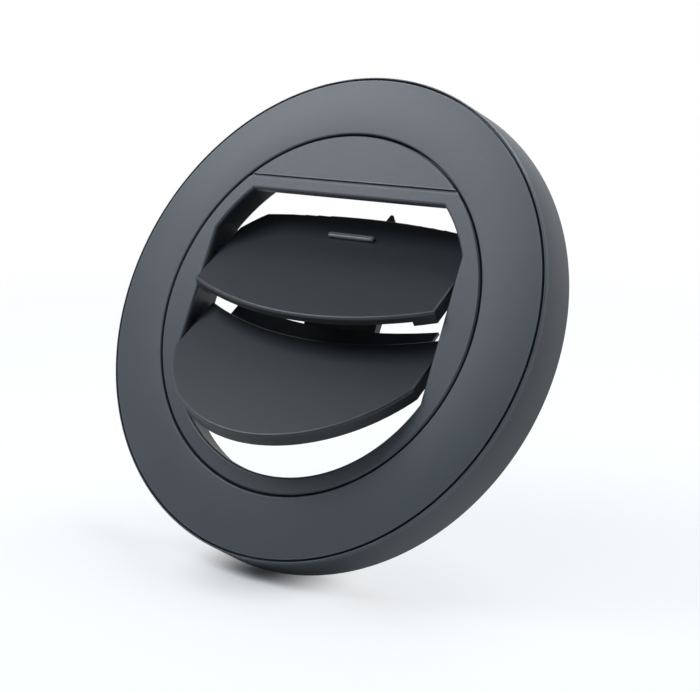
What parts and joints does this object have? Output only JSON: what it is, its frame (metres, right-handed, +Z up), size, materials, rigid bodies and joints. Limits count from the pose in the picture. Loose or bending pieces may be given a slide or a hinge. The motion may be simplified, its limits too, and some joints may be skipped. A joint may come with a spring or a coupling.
{
  "type": "heater deflector vent",
  "caption": "Round warm-air vent with a deep flange ring, a turning insert and linked tilting flaps that deflect or shut off the air.",
  "frame": {"origin": "on the vent's axis, in the plane of the panel that the rim's back face rests on", "axes": "+X to the right seen from the front, -Y out of the front face, +Z up with the insert upright"},
  "size_m": [0.0922, 0.0231, 0.0922],
  "materials": {
    "bezel_plastic": "fine matt grain",
    "insert_plastic": "fine matt grain",
    "flap_plastic": "smooth satin",
    "link_plastic": "plain moulded"
  },
  "bodies": {
    "ring": {"bezel_ring": "bezel_plastic"},
    "insert": {"vent_insert": "insert_plastic"},
    "upper_flap": {"upper_flap": "flap_plastic"},
    "lower_flap": {"lower_flap": "flap_plastic"},
    "link": {"flap_link": "link_plastic"}
  },
  "joints": [
    {"name": "insert_turn", "type": "hinge", "parent": "ring", "child": "insert", "pos_m": [0, 0, 0], "axis": [0, -1, 0], "continuous": true},
    {"name": "flap_open", "type": "hinge", "parent": "insert", "child": "upper_flap", "pos_m": [0, -0.0048, 0.0093], "axis": [-1, 0, 0], "range_deg": [-31, 39]},
    {"name": "lower_flap_open", "type": "hinge", "parent": "insert", "child": "lower_flap", "pos_m": [0, -0.0048, -0.0046], "axis": [-1, 0, 0], "range_deg": [-31, 39]},
    {"name": "link_pivot", "type": "hinge", "parent": "upper_flap", "child": "link", "pos_m": [0, 0.0023, 0.00947], "axis": [-1, 0, 0], "range_deg": [-39, 31]}
  ],
  "couplings": [
    {"joint": "lower_flap_open", "follows": "flap_open", "ratio": 1},
    {"joint": "link_pivot", "follows": "flap_open", "ratio": -1}
  ]
}
